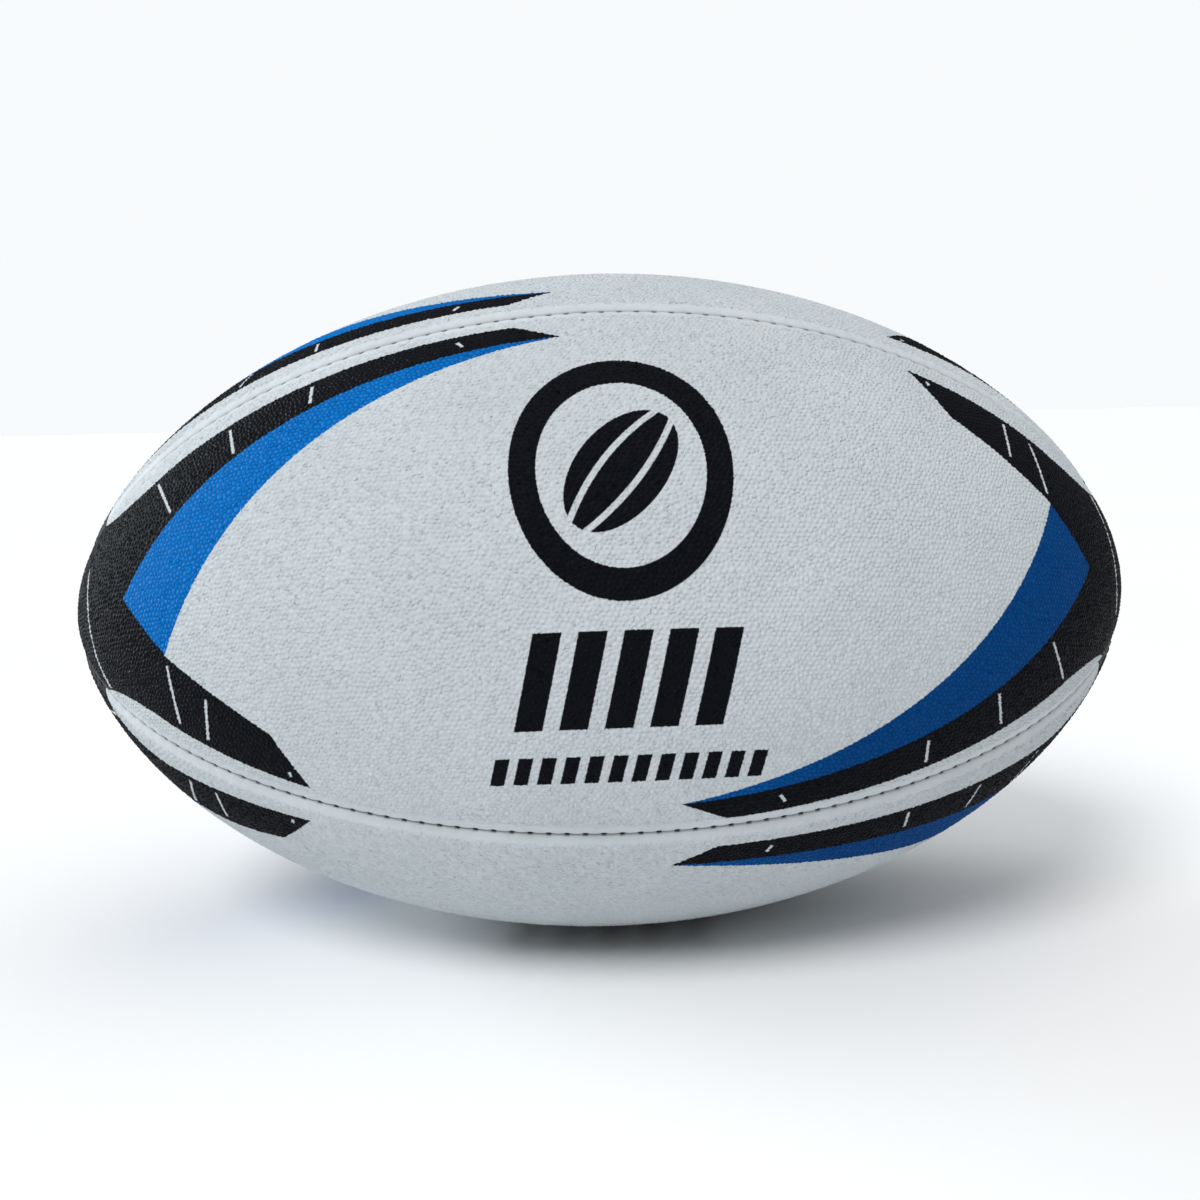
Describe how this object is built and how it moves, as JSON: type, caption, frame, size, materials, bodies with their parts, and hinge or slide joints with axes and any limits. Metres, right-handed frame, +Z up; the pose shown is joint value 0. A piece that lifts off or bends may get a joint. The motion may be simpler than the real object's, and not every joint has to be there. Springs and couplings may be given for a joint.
{
  "type": "rugby ball",
  "caption": "Oval rugby ball of stitched grip panels on cloth, with a bladder and a needle valve, printed in black and blue bands on white.",
  "frame": {"origin": "centre of the ball, halfway between its tips", "axes": "+X along the long axis to one tip, +Z up, -Y out of the side that carries the front panel, which is rolled 15 degrees up"},
  "size_m": [0.3, 0.185, 0.185],
  "materials": {
    "printed_rubber": "moulded grip rubber, satin, printed in black and blue",
    "outer_cloth": "woven polyester and cotton cloth, rubber coated",
    "middle_cloth": "woven polyester and cotton cloth, rubber coated",
    "inner_cloth": "woven polyester and cotton cloth, rubber coated",
    "waxed_thread": "waxed twisted polyester",
    "bladder_rubber": "smooth dipped rubber",
    "patch_rubber": "rubber coated cloth",
    "valve_rubber": "moulded rubber",
    "core_rubber": "soft butyl rubber"
  },
  "bodies": {
    "root": {"front_skin": "printed_rubber", "top_skin": "printed_rubber", "back_skin": "printed_rubber", "bottom_skin": "printed_rubber", "front_ply_outer": "outer_cloth", "top_ply_outer": "outer_cloth", "back_ply_outer": "outer_cloth", "bottom_ply_outer": "outer_cloth", "front_ply_middle": "middle_cloth", "top_ply_middle": "middle_cloth", "back_ply_middle": "middle_cloth", "bottom_ply_middle": "middle_cloth", "front_ply_inner": "inner_cloth", "top_ply_inner": "inner_cloth", "back_ply_inner": "inner_cloth", "bottom_ply_inner": "inner_cloth", "seam_thread_upper_front": "waxed_thread", "seam_thread_upper_back": "waxed_thread", "seam_thread_lower_back": "waxed_thread", "seam_thread_lower_front": "waxed_thread", "bladder": "bladder_rubber", "valve_patch": "patch_rubber", "valve_stem": "valve_rubber", "valve_core": "core_rubber"}
  },
  "joints": []
}
